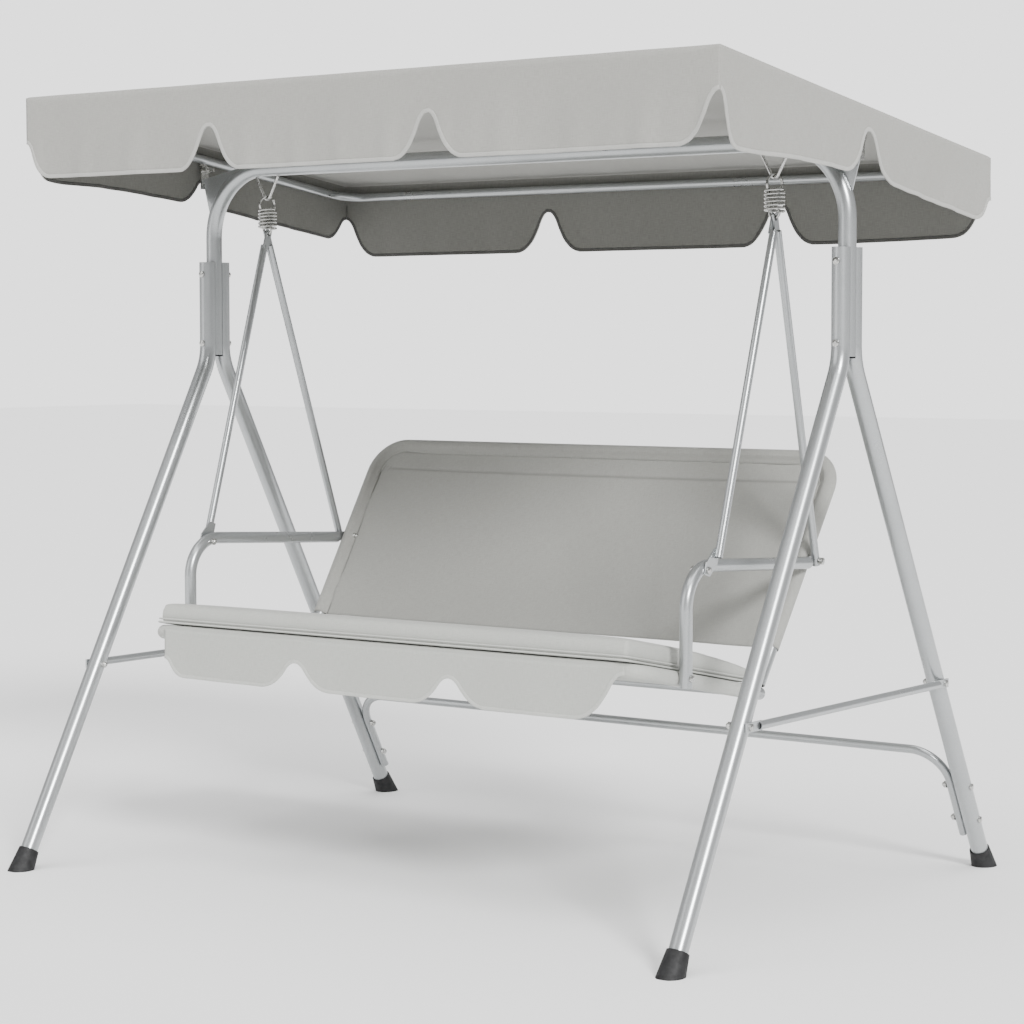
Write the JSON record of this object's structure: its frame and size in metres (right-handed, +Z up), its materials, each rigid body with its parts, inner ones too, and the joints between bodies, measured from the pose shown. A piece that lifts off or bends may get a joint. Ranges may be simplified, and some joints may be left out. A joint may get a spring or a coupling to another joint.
{
  "type": "garden canopy swing bench",
  "caption": "Free-standing garden swing bench with an A-frame stand, a padded seat hung on springs and rods, and a tilting fabric canopy.",
  "frame": {"origin": "on the floor under the centre of the stand", "axes": "+X along the bench to the right of someone facing its front, -Y towards the front, +Z up"},
  "size_m": [1.7066, 1.2796, 1.6084],
  "materials": {
    "silver_tube": "silver powder coat",
    "zinc_steel": "bright zinc",
    "spring_steel": "zinc-plated spring wire",
    "black_rubber": "matt moulded",
    "seat_cloth": "woven polyester",
    "back_cloth": "woven polyester",
    "canopy_cloth": "coated polyester"
  },
  "bodies": {
    "stand": {"front_leg_left": "silver_tube", "front_leg_right": "silver_tube", "rear_leg_left": "silver_tube", "rear_leg_right": "silver_tube", "foot_cap_front_left": "black_rubber", "foot_cap_front_right": "black_rubber", "foot_cap_rear_left": "black_rubber", "foot_cap_rear_right": "black_rubber", "top_rail_left": "silver_tube", "top_rail_right": "silver_tube", "spring_hanger_left": "zinc_steel", "spring_hanger_right": "zinc_steel", "gusset_left": "silver_tube", "gusset_right": "silver_tube", "canopy_tab_left": "zinc_steel", "canopy_tab_right": "zinc_steel", "side_brace_left": "silver_tube", "side_brace_right": "silver_tube", "rear_brace_left": "silver_tube", "rear_brace_right": "silver_tube", "stand_joint_sleeves": "zinc_steel", "leg_bolts": "zinc_steel", "brace_bolts": "zinc_steel", "canopy_pivot_bolts": "zinc_steel"},
    "springs": {"spring_left": "spring_steel", "spring_right": "spring_steel"},
    "seat": {"hanger_rod_front_left": "silver_tube", "hanger_rod_front_right": "silver_tube", "hanger_rod_rear_left": "silver_tube", "hanger_rod_rear_right": "silver_tube", "armrest_left": "silver_tube", "armrest_right": "silver_tube", "seat_frame_left": "silver_tube", "seat_frame_right": "silver_tube", "back_stub_left": "silver_tube", "back_stub_right": "silver_tube", "back_frame_left": "silver_tube", "back_frame_right": "silver_tube", "seat_rear_bar": "silver_tube", "seat_centre_bar": "silver_tube", "seat_joint_sleeves": "zinc_steel", "seat_bolts": "zinc_steel", "seat_pad": "seat_cloth", "seat_sling": "seat_cloth", "back_sling": "back_cloth", "seat_skirt": "seat_cloth"},
    "canopy": {"canopy_tube_left": "silver_tube", "canopy_tube_right": "silver_tube", "canopy_lug_left": "zinc_steel", "canopy_lug_right": "zinc_steel", "canopy_tube_front": "silver_tube", "canopy_tube_rear": "silver_tube", "canopy_joint_sleeves": "zinc_steel", "canopy_roof": "canopy_cloth", "valance_front": "canopy_cloth", "valance_rear": "canopy_cloth", "valance_left": "canopy_cloth", "valance_right": "canopy_cloth"},
    "wing_nut_left": {"wing_nut_left": "zinc_steel"},
    "wing_nut_right": {"wing_nut_right": "zinc_steel"}
  },
  "joints": [
    {"name": "seat_swing", "type": "hinge", "parent": "stand", "child": "springs", "pos_m": [0, 0, 1.415], "axis": [1, 0, 0], "range_deg": [-25, 25]},
    {"name": "seat_bounce", "type": "slide", "parent": "springs", "child": "seat", "axis": [0, 0, -1], "range_m": [0, 0.03], "stiffness_N_per_m": 47000, "springref_m": -0.004, "deforming": ["spring_left", "spring_right"]},
    {"name": "canopy_tilt", "type": "hinge", "parent": "stand", "child": "canopy", "pos_m": [0, 0, 1.485], "axis": [1, 0, 0], "range_deg": [-10, 20]},
    {"name": "wing_nut_left_turn", "type": "hinge", "parent": "stand", "child": "wing_nut_left", "pos_m": [-0.825, 0, 1.485], "axis": [1, 0, 0], "continuous": true},
    {"name": "wing_nut_right_turn", "type": "hinge", "parent": "stand", "child": "wing_nut_right", "pos_m": [0.825, 0, 1.485], "axis": [1, 0, 0], "continuous": true}
  ]
}
